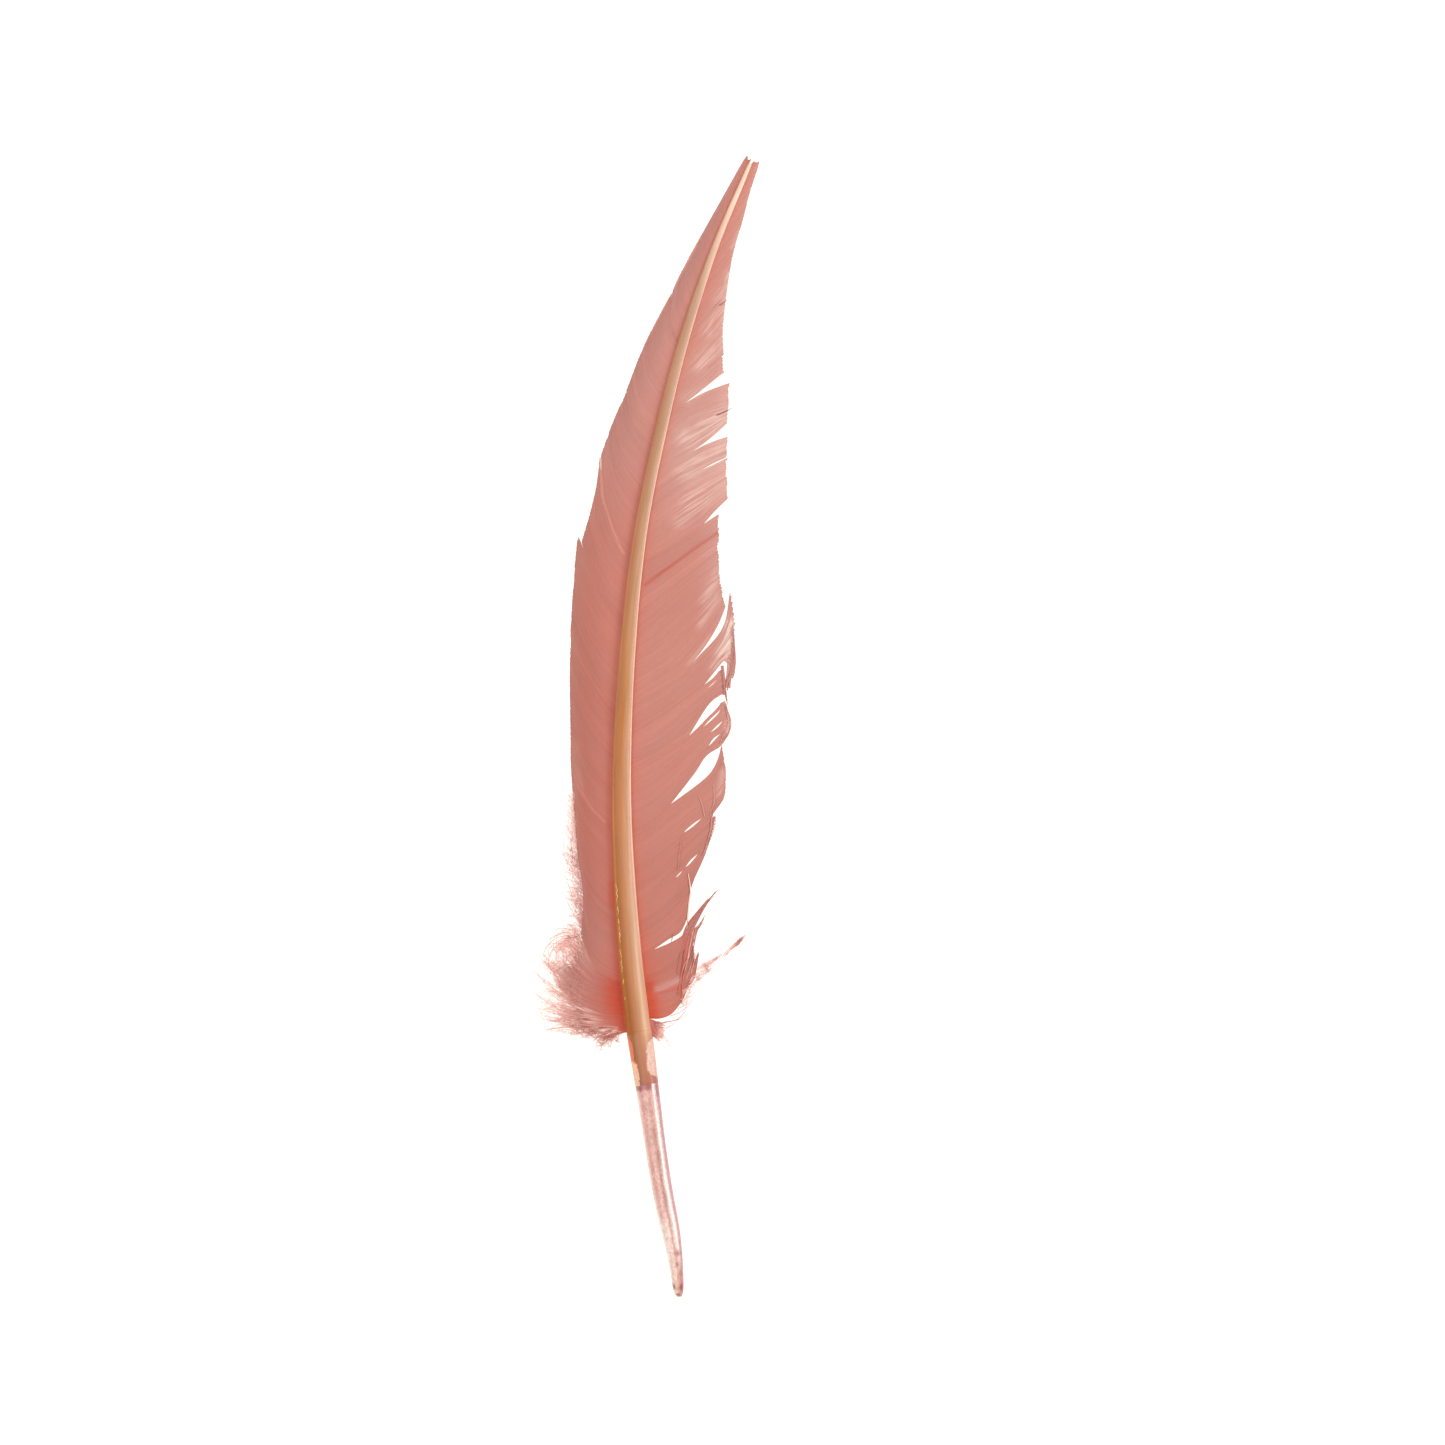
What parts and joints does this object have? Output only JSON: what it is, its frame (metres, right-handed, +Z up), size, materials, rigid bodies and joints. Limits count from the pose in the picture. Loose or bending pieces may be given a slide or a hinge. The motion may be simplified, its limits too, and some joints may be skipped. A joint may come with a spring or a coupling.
{
  "type": "quill pen",
  "caption": "Dyed flight feather quill lying flat: bare hollow barrel to hold, tapering curved shaft, split vanes and a downy base; its end is not yet cut to a nib.",
  "frame": {"origin": "on the table, under the middle of the bounding box of the whole quill", "axes": "+Y along the quill from the barrel's end to the feather's tip, +Z up out of the feather's smooth upper side, +X towards the wide inner vane"},
  "size_m": [0.0578, 0.3002, 0.0081],
  "materials": {
    "clear_horn": "milky translucent horn with a soft gloss, mottled pink inside",
    "horn": "smooth tan horn, glossy, darker brown on one side",
    "pith": "matt dry foam-like pith",
    "dried_pulp": "matt papery brown-pink membrane",
    "sheath_film": "thin flaking film, matt with a slight sheen",
    "golden_flake": "thin golden skin with ragged edges",
    "pink_barbs": "fine parallel barbs with a soft silky sheen, dusty salmon pink",
    "pale_down": "loose fluffy pale pink down"
  },
  "bodies": {
    "root": {"quill_barrel": "clear_horn", "rachis_shell": "horn", "rachis_pith": "pith", "umbilicus_plug": "dried_pulp", "tip_pulp": "dried_pulp", "pulp_cap_1": "dried_pulp", "pulp_cap_2": "dried_pulp", "pulp_cap_3": "dried_pulp", "pulp_cap_4": "dried_pulp", "pulp_cap_5": "dried_pulp", "sheath_film_left": "sheath_film", "sheath_film_right": "sheath_film", "cuticle_flake": "golden_flake", "inner_vane_1": "pink_barbs", "inner_vane_2": "pink_barbs", "inner_vane_3": "pink_barbs", "inner_vane_4": "pink_barbs", "inner_vane_5": "pink_barbs", "inner_vane_6": "pink_barbs", "inner_vane_7": "pink_barbs", "inner_vane_8": "pink_barbs", "inner_vane_9": "pink_barbs", "inner_vane_10": "pink_barbs", "outer_vane_1": "pink_barbs", "outer_vane_2": "pink_barbs", "outer_vane_3": "pink_barbs", "outer_vane_4": "pink_barbs", "outer_vane_5": "pink_barbs", "outer_vane_6": "pink_barbs", "outer_vane_7": "pink_barbs", "outer_down_1": "pale_down", "outer_down_2": "pale_down", "outer_down_3": "pale_down", "outer_down_4": "pale_down", "inner_down_1": "pale_down", "edge_strand_1": "pink_barbs", "edge_strand_2": "pink_barbs", "spike_strand_1": "pink_barbs", "spike_strand_2": "pink_barbs", "spike_strand_3": "pink_barbs", "downy_strand": "pale_down", "downy_edge": "pale_down"}
  },
  "joints": []
}
